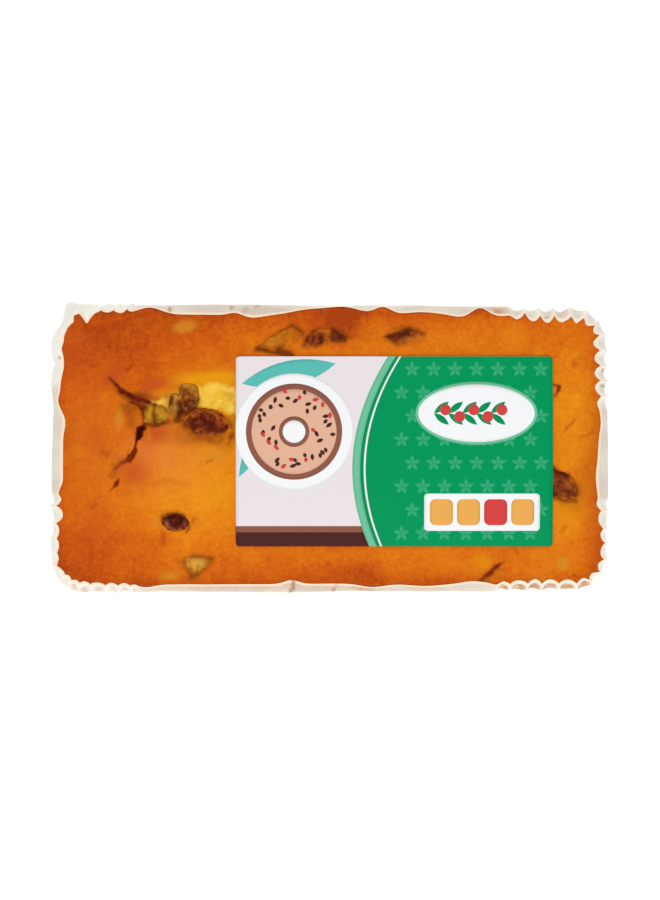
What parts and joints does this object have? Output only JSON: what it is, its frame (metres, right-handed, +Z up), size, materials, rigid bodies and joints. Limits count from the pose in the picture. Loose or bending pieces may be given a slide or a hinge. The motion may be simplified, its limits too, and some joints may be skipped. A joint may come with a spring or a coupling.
{
  "type": "fruit cake loaf",
  "caption": "Rectangular baked fruit cake loaf with a cracked golden crown, in a white pleated paper case, with a plain printed paper label lying on top.",
  "frame": {"origin": "middle of the paper case's flat underside, at the centre of the loaf's bounding box in plan", "axes": "+X along the loaf towards the end that the label lies nearer, +Y across the loaf towards the side with the row of fruit, +Z up"},
  "size_m": [0.1994, 0.1038, 0.042],
  "materials": {
    "crust": "baked cake crust, golden orange, matt with a faint sugary sheen, darker brown at the corners and edges, pale yellow crumb in the crack",
    "paper": "white greaseproof paper, matt, slightly see-through, creased",
    "label": "coated paper label, satin, printed in plain fields of green and pale lilac",
    "raisin": "dark dried fruit, wrinkled, half gloss",
    "sultana": "pale golden dried fruit, wrinkled, half gloss"
  },
  "bodies": {
    "root": {"case": "paper", "cake": "crust", "label": "label", "raisin_eye": "raisin", "raisin_dark": "raisin", "raisin_brown": "raisin", "sultana_split": "sultana", "sultana_upper": "sultana", "raisin_pair": "raisin", "raisin_slit": "raisin", "raisin_right": "raisin", "sultana_lower": "sultana"}
  },
  "joints": []
}
